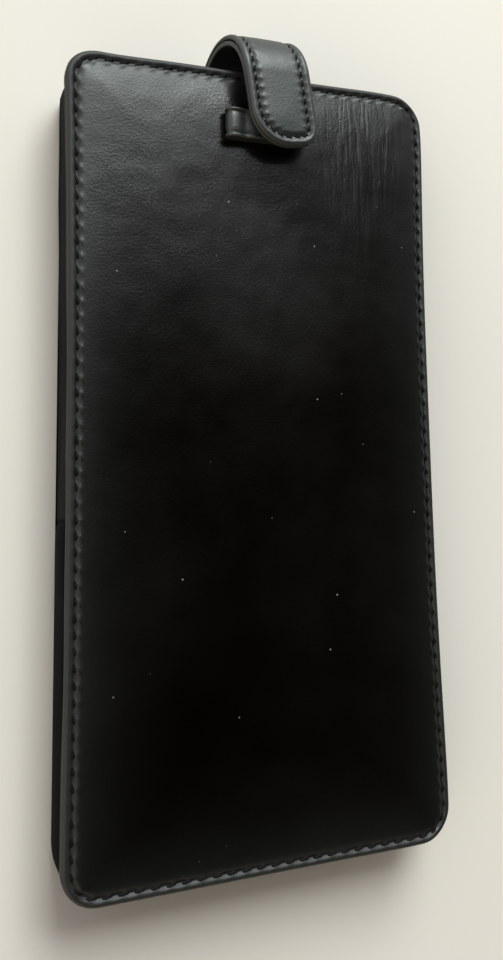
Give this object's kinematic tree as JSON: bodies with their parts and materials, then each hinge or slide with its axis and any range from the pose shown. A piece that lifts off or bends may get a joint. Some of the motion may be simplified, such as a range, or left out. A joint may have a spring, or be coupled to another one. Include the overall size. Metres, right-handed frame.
{
  "type": "leather ever ready case",
  "caption": "Slim black leather case with a stitched two-ply front, set-in side walls, an open top end and an arched strap that snaps down on a small bridge.",
  "frame": {"origin": "centre of the back panel's outer face, on which the case lies", "axes": "+X across the case to the right, +Y along it towards the open end and its strap, +Z out of the front"},
  "size_m": [0.106, 0.2236, 0.0279],
  "materials": {
    "black_leather": "satin, fine grain",
    "wall_leather": "satin, fine grain",
    "strap_leather": "smooth satin",
    "lining": "matt skiver",
    "board": "pressed fibreboard",
    "filler": "raw split leather",
    "thread": "waxed twisted thread",
    "tape": "woven cotton tape",
    "nickel": "nickel plate",
    "spring_wire": "drawn wire"
  },
  "bodies": {
    "case_body": {"front_outer_leather": "black_leather", "front_lining": "black_leather", "gusset_lower_leather": "wall_leather", "gusset_upper_left_leather": "wall_leather", "gusset_upper_right_leather": "wall_leather", "back_outer_leather": "black_leather", "strap_root_leather": "strap_leather", "bridge_leather": "strap_leather", "bridge_core": "filler", "front_board": "board", "back_board": "board", "gusset_lower_lining": "lining", "gusset_upper_left_lining": "lining", "gusset_upper_right_lining": "lining", "back_lining": "lining", "front_seam_thread": "thread", "front_bobbin_thread": "thread", "gusset_side_threads": "thread", "back_seam_thread": "thread", "strap_root_thread": "thread", "snap_stud": "nickel", "snap_washer": "nickel"},
    "strap_arch": {"strap_arch_outer": "strap_leather", "strap_arch_inner": "strap_leather", "strap_arch_tape": "tape", "strap_arch_threads": "thread"},
    "strap_tip": {"strap_tip_outer": "strap_leather", "strap_tip_inner": "strap_leather", "strap_tip_tape": "tape", "strap_tip_thread": "thread", "snap_socket": "nickel", "snap_spring": "spring_wire", "snap_cap": "nickel"}
  },
  "joints": [
    {"name": "strap_root_fold", "type": "hinge", "parent": "case_body", "child": "strap_arch", "pos_m": [-0.00262, 0.1062, 0.0026], "axis": [-1, 0, 0], "range_deg": [0, 30]},
    {"name": "strap_tip_lift", "type": "hinge", "parent": "strap_arch", "child": "strap_tip", "pos_m": [-0.00029, 0.11595, 0.01435], "axis": [-1, 0, 0], "range_deg": [0, 90]}
  ]
}
